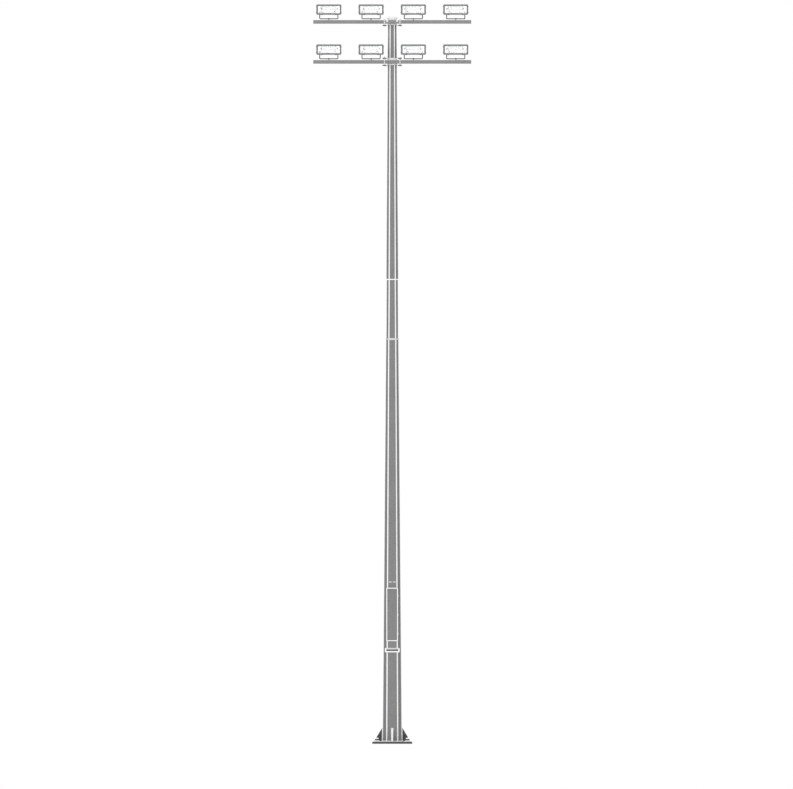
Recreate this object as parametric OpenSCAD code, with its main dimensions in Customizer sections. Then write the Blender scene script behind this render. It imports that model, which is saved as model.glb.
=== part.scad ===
// High mast floodlight tower: an eight-sided tapered steel mast on a gusseted base plate,
// with a service door, two cross arms and four floodlights on each arm.
// Millimetres, +Z up, origin in the middle of the base plate's underside, lamps face -Y.

/* [Base] */
// Side of the square base plate
plate_w = 885; // [700:5:1100]
// Thickness of the base plate
plate_t = 50; // [25:1:80]
// Chamfer on the plate's corners
plate_chamfer = 45; // [10:1:90]
// Distance from the plate's edge to the anchor holes' centres
anchor_inset = 101.5; // [60:0.5:120]
// Diameter of an anchor hole
anchor_hole_d = 54; // [30:1:66]
// Diameter of the conduit hole in the plate
conduit_d = 110; // [60:5:130]
// Distance of the conduit hole behind the mast's axis
conduit_y = 100; // [80:5:110]
// Height of a base gusset
gusset_h = 300; // [150:5:450]
// Distance from the plate's edge to a gusset's outer end
gusset_margin = 44.5; // [20:0.5:110]
// Thickness of a gusset
gusset_t = 25; // [12:1:40]
// Flat toe at a gusset's top and outer end
gusset_toe = 14; // [6:1:30]

/* [Mast shafts] */
// Width across flats at the foot
foot_w = 432; // [380:2:500]
// Width of one front flat at the foot
foot_flat = 250; // [170:2:280]
// Width across flats at the top of the lower shaft
lower_top_w = 283; // [265:1:330]
// Width of one front flat at the top of the lower shaft
lower_top_flat = 160; // [125:1:190]
// Height of the lower shaft's top edge
lower_top_z = 8960; // [8000:10:9600]
// Width across flats where the middle shaft enters the upper one
middle_top_w = 262; // [245:1:268]
// Width of one front flat there
middle_top_flat = 136; // [110:1:152]
// Height of the upper shaft's bottom edge
upper_foot_z = 10290; // [9900:10:11200]
// Width across flats at the mast's top
mast_top_w = 196; // [180:1:230]
// Width of one front flat at the mast's top
mast_top_flat = 98; // [80:1:112]
// Height of the mast's top edge
mast_top_z = 16062; // [16040:1:16200]
// Wall of all three shafts
shaft_wall = 6; // [4:0.5:8]
// Length of shaft hidden in a slip joint
slip_length = 450; // [300:10:600]
// Play in a slip joint
slip_gap = 0.5; // [0.3:0.1:0.9]
// Thickness of the cap's dome and skirt
cap_wall = 4; // [2:0.5:6]
// Depth of the cap's skirt
cap_skirt = 26; // [15:1:30]
// Rise of the cap's dome
cap_rise = 36; // [20:1:60]
// Play between the cap and the mast's corners
cap_gap = 0.4; // [0.2:0.1:0.9]

/* [Service door] */
// Height of the door's bottom edge
door_z = 2270; // [1500:10:3500]
// Width of the door
door_w = 254; // [220:2:300]
// Height of the door
door_h = 1184; // [800:4:1400]
// Sheet thickness of the door
door_sheet = 4; // [2:0.5:6]
// Depth of the door's turned edge
door_edge = 11; // [6:1:13]
// Corner radius of the door
door_corner_r = 16; // [10:1:24]
// Play between the door's edge and its frame
door_gap = 3; // [2:0.5:5]
// Play between the closed door and its frame
seat_gap = 0.3; // [0.2:0.1:0.8]
// Wall of the door frame
frame_wall = 10; // [8:1:16]
// How far the frame stands out of the mast at its foot
frame_proud = 15; // [12:1:24]
// Depth of the frame
frame_depth = 58; // [50:1:80]
// Diameter of a hinge barrel
hinge_d = 16; // [12:1:18]
// Depth of the hinge axis behind the frame's front face
hinge_set = 6; // [5:0.5:7]
// Length of one hinge barrel
hinge_l = 24; // [16:1:40]
// Diameter of a hinge pin
hinge_pin_d = 8; // [6:0.5:9]
// Radial play of a hinge pin
pin_play = 0.05; // [0.03:0.01:0.1]
// Play along a hinge pin
axial_gap = 0.3; // [0.2:0.1:0.8]
// Distance of the outer hinges from the door's middle
hinge_pitch = 420; // [250:5:500]
// Diameter of a lock's face
lock_d = 26; // [18:1:32]
// Distance of the locks from the door's middle
lock_pitch = 300; // [150:5:450]
// Thickness of a lock's face
lock_face_t = 3; // [2:0.5:6]
// Diameter of a lock's shank
lock_shank_d = 16; // [10:1:17]
// Reach of a lock's shank behind the door sheet
lock_reach = 24; // [16:1:40]
// Length of a lock's bolt from its axis
lock_bolt_l = 34; // [20:1:45]
// Thickness of a lock's bolt
lock_bolt_t = 4; // [2:0.5:8]
// Width of each strip of the drip rail over the door
drip_l = 66; // [40:2:90]
// Gap between the two strips
drip_split = 20; // [10:1:40]
// Thickness of the drip rail
drip_t = 16; // [4:1:20]
// Reach of the drip rail
drip_reach = 25; // [15:1:40]
// Height of the drip rail above the door
drip_rise = 126; // [40:2:200]
// Width of the name plate
sign_w = 326; // [200:2:360]
// Height of the name plate
sign_h = 96; // [60:2:140]
// Thickness of the name plate
sign_t = 4; // [2:0.5:8]
// Width of the pad behind the name plate
sign_pad_w = 170; // [80:2:190]
// Height of the pad behind the name plate
sign_pad_h = 56; // [30:2:60]
// Thickness of the pad behind the name plate
sign_pad_t = 5; // [3:0.5:12]
// Gap between the name plate and the door
sign_drop = 150; // [60:5:400]

/* [Cross arms] */
// Length of a cross arm
arm_l = 3486; // [3320:2:3800]
// Outer size of the arm's square tube
arm_size = 80; // [60:2:110]
// Wall of the arm's tube
arm_wall = 5; // [3:0.5:8]
// Depth of the upper arm's underside below the mast's top edge
upper_arm_drop = 126; // [125:1:160]
// Height of the upper arm over the lower one
arm_spacing = 885; // [845:5:1325]
// Distance from the mast's axis to the arms' back faces
arm_seat_y = 118; // [112:1:140]
// Width of the saddle between mast and arm
saddle_w = 190; // [100:2:196]
// How far a saddle stands over and under its arm
saddle_margin = 18; // [4:1:19]
// Thickness of the end caps
end_cap_t = 5; // [3:0.5:8]
// Reach of the ears from the mast's axis
ear_reach = 216; // [200:1:240]
// Thickness of an ear
ear_t = 22; // [12:1:30]
// Distance between an ear and its arm
ear_gap = 28; // [20:1:36]
// Diameter of the collar between an ear and its arm
ear_collar_d = 46; // [36:1:60]
// Distance of the arm's fixing holes from the mast's axis
arm_hole_x = 172; // [155:1:185]
// Diameter of the arm's fixing holes
arm_hole_d = 22; // [16:1:26]
// Distance of an ear's front edge behind the arm's front face
ear_setback = 8; // [2:1:20]
// Chamfer on an ear's free corners
ear_chamfer = 22; // [8:1:30]

/* [Floodlights] */
// Distance from an arm's end to the outer floodlight's bolt
lamp_margin = 339; // [300:1:380]
// Distance between an ear's end and the inner floodlight's bracket
lamp_clearance = 40; // [30:1:200]
// Width of a floodlight's front
front_w = 553; // [500:1:580]
// Height of a floodlight's front
front_h = 230; // [200:1:250]
// Depth of the front frame
front_d = 32; // [24:1:40]
// Corner radius of the front frame
front_r = 20; // [8:1:30]
// Width of the rim around the glass
rim_w = 28; // [20:1:36]
// Distance from the tilt axis to the back of the front frame
front_back = 120; // [116:1:124]
// Width of the housing behind the frame
housing_w = 364; // [330:2:368]
// Height of the housing where it meets the frame
housing_h = 190; // [160:2:198]
// Height of the housing's rear wall
housing_rear_h = 118; // [90:1:140]
// Drop of the housing's top from the front frame to the rear slope
housing_fall = 12; // [6:1:20]
// Distance from the tilt axis to the back of the housing
housing_back = 92; // [70:1:100]
// Wall of the housing
housing_wall = 4; // [3:0.5:6]
// Height of a cooling fin behind the housing
fin_d = 26; // [10:1:32]
// Thickness of a cooling fin
fin_t = 4; // [3:0.5:6]
// Height of a cooling fin's plate
fin_h = 110; // [80:1:116]
// Distance of the outer fins from the housing's sides
fin_margin = 20; // [10:1:40]
// Number of cooling fins
fin_count = 9; // [5:1:13]
// Thickness of the glass pane
glass_t = 5; // [4:0.5:6]
// Corner radius of the glass pane
glass_r = 10; // [4:1:14]
// Depth of the glass behind the rim's front edge
glass_inset = 6; // [3:1:10]
// Width of the ledge behind the glass
glass_ledge = 6; // [4:0.5:10]
// Play between the glass and its seat
glass_gap = 0.3; // [0.2:0.1:0.8]
// Outer width of the bracket
yoke_w = 424; // [416:1:440]
// Wall of the bracket's channel
yoke_t = 6; // [4:1:8]
// Depth of the bracket's channel
yoke_flange = 20; // [16:1:24]
// Width of the bracket's channel
yoke_bar = 50; // [48:1:60]
// Outer radius of the bracket's bends
yoke_bend_r = 26; // [25:1:40]
// Height of the tilt axis over the bracket's foot
pivot_h = 214; // [205:1:230]
// Diameter of the tilt bolt
tilt_pin_d = 14; // [10:1:18]
// Diameter of the round boss on the housing
boss_d = 44; // [30:1:48]
// Diameter of the washer head outside the bracket
washer_d = 32; // [24:1:40]
// Thickness of the washer head
washer_t = 9; // [5:1:12]
// Diameter of the swivel bolt
swivel_d = 16; // [12:1:20]
// Diameter of the pad under the bracket
pad_d = 34; // [28:1:36]
// Height of the bracket's foot over the arm
pad_t = 18; // [12:1:30]
// Diameter of the swivel bolt's head
swivel_head_d = 28; // [24:1:34]
// Height of the swivel bolt's head
swivel_head_t = 10; // [6:1:12]

/* [Hidden] */
$fn = 48;
ROWS = ["upper", "lower"];
PLACES = ["1", "2", "3", "4"];
LAMPS = [for (r = ROWS) for (p = PLACES) str(r, "_lamp_", p)];

// Edge length that an octagon's flat loses when its walls move inwards by one millimetre
FLAT_LOSS = 2 * tan(22.5);
// Overshoot of a cutting shape past the face that it opens
CUT = 1;

anchor_pitch = plate_w - 2 * anchor_inset;
upper_foot_w = middle_top_w + 2 * (shaft_wall + slip_gap);
upper_foot_flat = middle_top_flat + FLAT_LOSS * (shaft_wall + slip_gap);

// Size at height z on a straight taper from a at z0 to b at z1
function taper(a, b, z0, z1, z) = a + (b - a) * (z - z0) / (z1 - z0);
function lower_w(z) = taper(foot_w, lower_top_w, plate_t, lower_top_z, z);
function lower_flat(z) = taper(foot_flat, lower_top_flat, plate_t, lower_top_z, z);
function upper_w(z) = taper(upper_foot_w, mast_top_w, upper_foot_z, mast_top_z, z);
function upper_flat(z) = taper(upper_foot_flat, mast_top_flat, upper_foot_z, mast_top_z, z);

// A shaft's section at one height: width across flats, front flat and height
function lower_section(z) = [lower_w(z), lower_flat(z), z];
function upper_section(z) = [upper_w(z), upper_flat(z), z];
// The same section drawn in by d all round
function drawn_in(s, d) = [s[0] - 2 * d, s[1] - FLAT_LOSS * d, s[2]];

// Corners of the mast's octagon at a section
function octagon(s) = let (w = s[0] / 2, f = s[1] / 2, z = s[2]) [
    [f, -w, z], [w, -f, z], [w, f, z], [f, w, z], [-f, w, z], [-w, f, z], [-w, -f, z], [-f, -w, z]];

// Octagon tube through sections, lowest first, with walls shaft_wall thick
module shaft_tube(sections) {
    bore = 8 * len(sections);
    last = bore - 8;
    outer_points = [for (s = sections) each octagon(s)];
    inner_points = [for (s = sections) each octagon(drawn_in(s, shaft_wall))];
    faces = [for (i = [0:7]) let (j = (i + 1) % 8) each concat(
        [for (k = [0:8:last - 8]) [k + i, k + 8 + i, k + 8 + j, k + j]],
        [for (k = [bore:8:bore + last - 8]) [k + j, k + 8 + j, k + 8 + i, k + i]],
        [[last + i, bore + last + i, bore + last + j, last + j]],
        [[j, bore + j, bore + i, i]])];
    polyhedron(concat(outer_points, inner_points), faces);
}

// Box given by its lowest and highest corner
module block(low, high) {
    translate(low) cube(high - low);
}

// Rectangle with round corners, centred
module round_rect(w, h, r) {
    square([w - 2 * r, h], center = true);
    square([w, h - 2 * r], center = true);
    for (x = [-1, 1]) for (y = [-1, 1]) translate([x * (w / 2 - r), y * (h / 2 - r)]) circle(r);
}

module base_plate() {
    color("dimgray") difference() {
        linear_extrude(plate_t) difference() {
            square(plate_w, center = true);
            for (a = [0:90:270]) rotate(a) translate([plate_w / 2, plate_w / 2]) rotate(45)
                square(plate_chamfer * sqrt(2), center = true);
        }
        translate([0, conduit_y, -CUT]) cylinder(d = conduit_d, h = plate_t + 2 * CUT);
        for (x = [-1, 1]) for (y = [-1, 1])
            translate([x * anchor_pitch / 2, y * anchor_pitch / 2, -CUT])
                cylinder(d = anchor_hole_d, h = plate_t + 2 * CUT);
    }
}

// Profile of a gusset: inner edge along the mast's taper, toes at the top and outer end
module gusset_profile() {
    inner_low = lower_w(plate_t) / 2;
    inner_high = lower_w(plate_t + gusset_h) / 2;
    outer = plate_w / 2 - gusset_margin;
    polygon([[inner_low, plate_t], [outer, plate_t], [outer, plate_t + gusset_toe],
             [inner_high + gusset_toe, plate_t + gusset_h], [inner_high, plate_t + gusset_h]]);
}

module base_gussets() {
    color("dimgray") for (a = [0:90:270]) rotate([90, 0, a])
        linear_extrude(gusset_t, center = true) gusset_profile();
}

frame_w = door_w - 2 * (door_sheet + door_gap);
frame_h = door_h - 2 * (door_sheet + door_gap);
frame_r = door_corner_r - door_sheet - door_gap;
frame_mid_z = door_z + door_h / 2;
// Depth coordinate of the door frame's front face
frame_y = -lower_w(door_z) / 2 - frame_proud;

// Solid bar with the door frame's outline, from depth y0 to y1
module frame_bar(y0, y1) {
    translate([0, y1, frame_mid_z]) rotate([90, 0, 0])
        linear_extrude(y1 - y0) round_rect(frame_w, frame_h, frame_r);
}

module lower_shaft() {
    color("gray") difference() {
        shaft_tube([lower_section(plate_t), lower_section(lower_top_z)]);
        frame_bar(frame_y - CUT, 0);
    }
}

// The middle shaft's hidden ends fit inside the tapers of its neighbours
module middle_shaft() {
    inset = shaft_wall + slip_gap;
    lower_fit = [for (z = [lower_top_z - slip_length, lower_top_z]) drawn_in(lower_section(z), inset)];
    upper_fit = [for (z = [upper_foot_z, upper_foot_z + slip_length]) drawn_in(upper_section(z), inset)];
    color("gray") shaft_tube(concat(lower_fit, upper_fit));
}

module upper_shaft() {
    color("gray") shaft_tube([upper_section(upper_foot_z), upper_section(mast_top_z)]);
}

module mast_cap() {
    skirt_z = mast_top_z - cap_skirt;
    cap_r = norm([upper_w(skirt_z), upper_flat(skirt_z)]) / 2 + cap_gap + cap_wall;
    dome_r = (pow(cap_r, 2) + pow(cap_rise, 2)) / (2 * cap_rise);
    color("lightgray") translate([0, 0, mast_top_z + axial_gap]) difference() {
        union() {
            translate([0, 0, -cap_skirt]) cylinder(r = cap_r, h = cap_skirt);
            rotate_extrude($fn = 96) intersection() {
                translate([0, cap_rise - dome_r]) circle(dome_r, $fn = 180);
                square([cap_r, cap_rise]);
            }
        }
        translate([0, 0, -cap_skirt - CUT]) cylinder(r = cap_r - cap_wall, h = cap_skirt + CUT);
    }
}

module door_frame() {
    half_w = frame_w / 2 - frame_wall;
    half_h = frame_h / 2 - frame_wall;
    color("darkgray") difference() {
        frame_bar(frame_y, frame_y + frame_depth);
        block([-half_w, frame_y - CUT, frame_mid_z - half_h],
              [half_w, frame_y + frame_depth + CUT, frame_mid_z + half_h]);
    }
}

// Hinge axis, outside the door's right edge
hinge_x = door_w / 2 + hinge_d / 2 + 1;
hinge_y = frame_y + hinge_set;
HINGES_Z = [for (s = [-1, 0, 1]) frame_mid_z + s * hinge_pitch];
barrel_pair = 2 * hinge_l + axial_gap;
// Lock axis, beside the door's free edge
lock_x = -frame_w / 2 + frame_wall + lock_d;
LOCKS_Z = [for (s = [-1, 1]) frame_mid_z + s * lock_pitch];

// Lugs on the frame, each with the lower barrel and the pin of one hinge
module door_hinge_pins() {
    color("darkgray") for (z = HINGES_Z) translate([0, 0, z - barrel_pair / 2]) {
        block([frame_w / 2, frame_y + seat_gap, 0],
              [hinge_x, frame_y + 2 * hinge_set - seat_gap, hinge_l]);
        translate([hinge_x, hinge_y, 0]) cylinder(d = hinge_d, h = hinge_l);
        translate([hinge_x, hinge_y, 0]) cylinder(d = hinge_pin_d, h = barrel_pair + 2);
    }
}

module door() {
    front_y = frame_y - seat_gap - door_sheet;
    back_y = front_y + door_sheet + door_edge;
    color("silver") difference() {
        union() {
            translate([0, back_y, frame_mid_z]) rotate([90, 0, 0])
                linear_extrude(back_y - front_y) round_rect(door_w, door_h, door_corner_r);
            for (z = HINGES_Z) translate([0, 0, z + barrel_pair / 2 - hinge_l]) {
                block([door_w / 2 - door_corner_r, front_y, 0], [hinge_x, front_y + door_sheet, hinge_l]);
                translate([hinge_x, hinge_y, 0]) cylinder(d = hinge_d, h = hinge_l);
            }
        }
        translate([0, back_y + CUT, frame_mid_z]) rotate([90, 0, 0])
            linear_extrude(door_edge + CUT)
                round_rect(door_w - 2 * door_sheet, door_h - 2 * door_sheet,
                           door_corner_r - door_sheet);
        for (z = LOCKS_Z) translate([lock_x, front_y - CUT, z]) rotate([-90, 0, 0])
            cylinder(d = lock_shank_d + 2 * pin_play, h = door_sheet + 2 * CUT);
        for (z = HINGES_Z) {
            translate([hinge_x, hinge_y, z - barrel_pair])
                cylinder(d = hinge_pin_d + 2 * pin_play, h = 2 * barrel_pair);
            block([door_w / 2 - door_corner_r, front_y + door_sheet, z - barrel_pair / 2 - door_gap],
                  [door_w / 2 + CUT, back_y + CUT, z + barrel_pair / 2 - hinge_l - axial_gap / 2]);
        }
    }
}

// Quarter-turn locks, drawn with the bolt turned clear of the frame
module door_locks() {
    bolt_y = -door_sheet - lock_reach;
    color("dimgray") for (z = LOCKS_Z) translate([lock_x, frame_y - seat_gap - door_sheet, z])
        rotate([90, 0, 0]) {
            cylinder(d = lock_d, h = lock_face_t);
            translate([0, 0, bolt_y]) cylinder(d = lock_shank_d, h = lock_reach + door_sheet);
            translate([-lock_shank_d / 2, 0, bolt_y]) cube([lock_shank_d, lock_bolt_l, lock_bolt_t]);
        }
}

module drip_rail() {
    z = door_z + door_h + drip_rise - drip_t / 2;
    back_y = -lower_w(z) / 2;
    color("gainsboro") for (m = [0, 1]) mirror([m, 0, 0])
        block([drip_split / 2, back_y - drip_reach, z], [drip_split / 2 + drip_l, back_y, z + drip_t]);
}

// Name plate on a pad, which is welded to the front flat
module name_plate() {
    mid_z = door_z - sign_drop - sign_h / 2;
    pad_z = mid_z - sign_pad_h / 2;
    pad_y = -lower_w(pad_z) / 2;
    color("gainsboro") {
        block([-sign_w / 2, pad_y - sign_pad_t - sign_t, mid_z - sign_h / 2],
              [sign_w / 2, pad_y - sign_pad_t, mid_z + sign_h / 2]);
        block([-sign_pad_w / 2, pad_y - sign_pad_t, pad_z],
              [sign_pad_w / 2, pad_y, pad_z + sign_pad_h]);
    }
}

// Heights of the arms' undersides
upper_arm_z = mast_top_z - upper_arm_drop;
lower_arm_z = upper_arm_z - arm_spacing;
ARMS_Z = [upper_arm_z, lower_arm_z];
arm_mid_y = -arm_seat_y - arm_size / 2;
inner_lamp_x = ear_reach + lamp_clearance + yoke_w / 2;
outer_lamp_x = arm_l / 2 - lamp_margin;
LAMPS_X = [-outer_lamp_x, -inner_lamp_x, inner_lamp_x, outer_lamp_x];

module cross_arm(z) {
    color("darkgray") translate([0, arm_mid_y, z + arm_size / 2]) difference() {
        cube([arm_l, arm_size, arm_size], center = true);
        cube([arm_l + 2 * CUT, arm_size - 2 * arm_wall, arm_size - 2 * arm_wall], center = true);
        for (s = [-1, 1]) translate([s * arm_hole_x, 0, 0])
            cylinder(d = arm_hole_d, h = arm_size + 2 * CUT, center = true);
    }
}

module arm_end_caps() {
    color("darkgray") for (z = ARMS_Z) for (s = [-1, 1])
        translate([s * (arm_l + end_cap_t) / 2, arm_mid_y, z + arm_size / 2])
            cube([end_cap_t, arm_size, arm_size], center = true);
}

// Packing between the mast's front flat and the back of each arm
module arm_saddles() {
    color("gray") for (z = ARMS_Z)
        block([-saddle_w / 2, -arm_seat_y, z - saddle_margin],
              [saddle_w / 2, -upper_w(z - saddle_margin) / 2, z + arm_size + saddle_margin]);
}

// One ear in plan: welded to the mast's side flat at height z, it reaches forward past the arm
module ear_plan(z) {
    inner = upper_w(z) / 2;
    flat = upper_flat(z) / 2;
    front = arm_mid_y - arm_size / 2 + ear_setback;
    difference() {
        polygon([[inner, front], [ear_reach - ear_chamfer, front], [ear_reach, front + ear_chamfer],
                 [ear_reach, -flat], [inner + ear_chamfer, flat], [inner, flat]]);
        translate([arm_hole_x, arm_mid_y]) circle(d = arm_hole_d);
    }
}

// Pair of ears with their plates' undersides at height z and collars up or down to the arm
module ear_pair(z, collar_z) {
    for (m = [0, 1]) mirror([m, 0, 0]) {
        translate([0, 0, z]) linear_extrude(ear_t) ear_plan(z);
        translate([0, 0, collar_z]) linear_extrude(ear_gap) translate([arm_hole_x, arm_mid_y])
            difference() {
                circle(d = ear_collar_d);
                circle(d = arm_hole_d);
            }
    }
}

module arm_ears() {
    color("dimgray") {
        for (z = ARMS_Z) ear_pair(z - ear_gap - ear_t, z - ear_gap);
        ear_pair(lower_arm_z + arm_size + ear_gap, lower_arm_z + arm_size);
    }
}

// Foot of a bracket over the underside of its arm
foot_rise = arm_size + pad_t + axial_gap;

module swivel_bolts() {
    pad_top = pad_t + yoke_flange - yoke_t;
    head_z = pad_top + yoke_t + 2 * axial_gap;
    color("gray") for (z = ARMS_Z) for (x = LAMPS_X) translate([x, arm_mid_y, z + arm_size]) {
        cylinder(d = pad_d, h = pad_top);
        cylinder(d = swivel_d, h = head_z + swivel_head_t);
        translate([0, 0, head_z]) cylinder(d = swivel_head_d, h = swivel_head_t, $fn = 6);
    }
}

// Everything from here is drawn round the tilt axis

// U shape with round lower corners, w wide, from height z0 to z1
module cup(w, z0, z1, r) {
    translate([-w / 2, z0 + r]) square([w, z1 - z0 - r]);
    translate([-w / 2 + r, z0]) square([w - 2 * r, z1 - z0]);
    for (s = [-1, 1]) translate([s * (w / 2 - r), z0 + r]) circle(r);
}

// U strip t thick, its outside drawn in by d from the bracket's outline
module bracket_strip(d, t) {
    difference() {
        cup(yoke_w - 2 * d, -pivot_h + d, yoke_bar, yoke_bend_r - d);
        cup(yoke_w - 2 * (d + t), -pivot_h + d + t, yoke_bar + CUT, yoke_bend_r - d - t);
    }
}

module bracket() {
    color("dimgray") difference() {
        intersection() {
            union() {
                rotate([90, 0, 0]) linear_extrude(yoke_bar, center = true)
                    bracket_strip(yoke_flange - yoke_t, yoke_t);
                for (s = [-1, 1]) translate([0, s * (yoke_bar - yoke_t) / 2, 0]) rotate([90, 0, 0])
                    linear_extrude(yoke_t, center = true) bracket_strip(0, yoke_flange);
            }
            union() {
                rotate([0, 90, 0]) cylinder(d = yoke_bar, h = yoke_w + 2 * CUT, center = true);
                block([-yoke_w / 2 - CUT, -yoke_bar / 2, -pivot_h - CUT],
                      [yoke_w / 2 + CUT, yoke_bar / 2, 0]);
            }
        }
        rotate([0, 90, 0])
            cylinder(d = tilt_pin_d + 2 * pin_play, h = yoke_w + 2 * CUT, center = true);
        translate([0, 0, -pivot_h - CUT])
            cylinder(d = swivel_d + 2 * pin_play, h = yoke_flange + 2 * CUT);
    }
}

// Side view of the housing behind its frame, drawn in by d all round
module housing_profile(d) {
    knee_y = housing_back * 0.55 - d / 2;
    knee_h = housing_h / 2 - housing_fall - d;
    rear_h = (housing_rear_h - d) / 2;
    polygon([[-front_back - d, housing_h / 2 - d], [knee_y, knee_h],
             [housing_back - d, rear_h], [housing_back - d, -rear_h],
             [knee_y, -knee_h], [-front_back - d, -housing_h / 2 + d]]);
}

module side_extrude(w, d) {
    rotate([90, 0, 90]) linear_extrude(w, center = true) housing_profile(d);
}

module front_extrude(y, depth, inset, r) {
    translate([0, y + depth, 0]) rotate([90, 0, 0])
        linear_extrude(depth) round_rect(front_w - 2 * inset, front_h - 2 * inset, r);
}

glass_y = -front_back - front_d + glass_inset;

module housing() {
    front_y = -front_back - front_d;
    fin_pitch = (housing_w - 2 * fin_margin) / (fin_count - 1);
    leg_in = yoke_w / 2 - yoke_flange - axial_gap;
    leg_out = yoke_w / 2 - yoke_flange + yoke_t + axial_gap;
    color("whitesmoke") {
        difference() {
            union() {
                front_extrude(front_y, front_d, 0, front_r);
                side_extrude(housing_w, 0);
                for (i = [0:fin_count - 1]) translate([fin_margin - housing_w / 2 + i * fin_pitch, 0, 0])
                    block([-fin_t / 2, housing_back * 0.5, -fin_h / 2],
                          [fin_t / 2, housing_back + fin_d, fin_h / 2]);
            }
            front_extrude(front_y - CUT, glass_inset + glass_t + 2 * glass_gap + CUT, rim_w, glass_r);
            front_extrude(front_y, front_d - housing_wall, rim_w + glass_ledge, glass_r);
            side_extrude(housing_w - 2 * housing_wall, housing_wall);
        }
        for (m = [0, 1]) mirror([m, 0, 0]) rotate([0, 90, 0]) {
            translate([0, 0, housing_w / 2]) cylinder(d = boss_d, h = leg_in - housing_w / 2);
            translate([0, 0, housing_w / 2])
                cylinder(d = tilt_pin_d, h = leg_out + washer_t - housing_w / 2);
            translate([0, 0, leg_out]) cylinder(d = washer_d, h = washer_t);
        }
    }
}

module glass() {
    color("aliceblue") front_extrude(glass_y + glass_gap, glass_t, rim_w + glass_gap, glass_r);
}

// Places its child on the tilt axis of floodlight i, the upper row first
module at_lamp(i) {
    row = floor(i / len(PLACES));
    z = ARMS_Z[row] + foot_rise + pivot_h;
    translate([LAMPS_X[i % len(PLACES)], arm_mid_y, z]) children();
}

base_plate();
base_gussets();
lower_shaft();
middle_shaft();
upper_shaft();
mast_cap();
door_frame();
door_hinge_pins();
door();
door_locks();
drip_rail();
name_plate();
cross_arm(upper_arm_z);  // upper_arm
cross_arm(lower_arm_z);  // lower_arm
arm_end_caps();
arm_saddles();
arm_ears();
swivel_bolts();
for (i = [0:len(LAMPS) - 1]) {
    at_lamp(i) bracket();
    at_lamp(i) housing();
    at_lamp(i) glass();
}
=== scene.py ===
from math import cos, pi, radians

import bmesh
import bpy
from mathutils import Matrix, Vector


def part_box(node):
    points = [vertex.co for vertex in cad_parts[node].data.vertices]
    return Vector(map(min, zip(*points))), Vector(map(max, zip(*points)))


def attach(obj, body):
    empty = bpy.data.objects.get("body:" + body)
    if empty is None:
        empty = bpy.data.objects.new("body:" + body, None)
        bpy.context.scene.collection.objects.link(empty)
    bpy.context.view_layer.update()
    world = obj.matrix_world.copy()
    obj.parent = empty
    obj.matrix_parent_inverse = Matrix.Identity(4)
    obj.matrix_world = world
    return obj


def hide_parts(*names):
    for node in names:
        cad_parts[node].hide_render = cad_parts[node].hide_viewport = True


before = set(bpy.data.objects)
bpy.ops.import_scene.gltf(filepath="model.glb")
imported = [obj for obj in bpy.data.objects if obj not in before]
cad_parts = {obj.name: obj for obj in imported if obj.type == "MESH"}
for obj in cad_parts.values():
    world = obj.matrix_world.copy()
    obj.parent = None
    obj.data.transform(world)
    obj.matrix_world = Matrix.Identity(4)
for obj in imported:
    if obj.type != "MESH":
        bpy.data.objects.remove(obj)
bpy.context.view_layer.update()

X, Y, Z = 0, 1, 2
LAMPS = [row + "_lamp_" + place for row in ("upper", "lower") for place in "1234"]

# Sizes that several pieces share
ARM_Y = -0.158         # middle of the cross arms, and the axis of the swivel bolts
ARM_SIZE = 0.080       # width of the arms' square tube
EAR_BOLT_X = 0.172     # how far from the mast's axis the bolts through ears and arms stand
EAR_ROOT_X = 0.121     # where the sprayed root of an ear ends
EAR_THICK = 0.022      # plate of the ears
UP = (0, 0, 1)


# --- Modelling by operators -------------------------------------------------------------------

def only(*pieces):
    """Selects just these pieces, with the first one active."""
    bpy.ops.object.select_all(action="DESELECT")
    for piece in pieces:
        piece.select_set(True)
    bpy.context.view_layer.objects.active = pieces[0]


def named(name):
    """Names the primitive that was just added and puts its place into its mesh."""
    piece = bpy.context.object
    piece.name = piece.data.name = name
    only(piece)
    bpy.ops.object.transform_apply(location=True, rotation=True, scale=True)
    return piece


def block(name, low, high):
    """Box between its lowest and highest corner."""
    low, high = Vector(low), Vector(high)
    bpy.ops.object.select_all(action="DESELECT")
    bpy.ops.mesh.primitive_cube_add(size=1, location=(low + high) / 2, scale=high - low)
    return named(name)


def rod(name, centre, d, length, axis=Z, sides=32):
    """Round bar round its middle, along one axis."""
    turn = ((0, pi / 2, 0), (pi / 2, 0, 0), (0, 0, 0))[axis]
    bpy.ops.object.select_all(action="DESELECT")
    bpy.ops.mesh.primitive_cylinder_add(
        vertices=sides, radius=d / 2, depth=length, location=centre, rotation=turn)
    return named(name)


def work(piece, kind, test, *steps):
    """In edit mode, selects what passes the test and runs each operator with its settings."""
    only(piece)
    bpy.ops.object.mode_set(mode="EDIT")
    bpy.ops.mesh.select_mode(type={"verts": "VERT", "edges": "EDGE", "faces": "FACE"}[kind])
    bpy.ops.mesh.select_all(action="DESELECT")
    mesh = bmesh.from_edit_mesh(piece.data)
    mesh.normal_update()
    for item in getattr(mesh, kind):
        if test(item):
            item.select_set(True)
    mesh.select_flush_mode()
    bmesh.update_edit_mesh(piece.data)
    for operator, settings in steps:
        operator(**settings)
    bpy.ops.object.mode_set(mode="OBJECT")
    return piece


def every(item):
    return True


def facing(axis, sign):
    """Faces that look along an axis, its way or against it."""
    return lambda face: face.normal[axis] * sign > 0.9


def along(axis):
    """Edges that run along an axis."""
    def test(edge):
        line = edge.verts[1].co - edge.verts[0].co
        return abs(line[axis]) > 0.99 * line.length
    return test


def middle(item):
    """Middle of an edge or a face."""
    return sum((v.co for v in item.verts), Vector()) / len(item.verts)


def bevel(width, segments=2, **more):
    """Rounds the selected edges."""
    settings = dict(offset=width, segments=segments, affect="EDGES", clamp_overlap=True)
    return bpy.ops.mesh.bevel, {**settings, **more}


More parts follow.
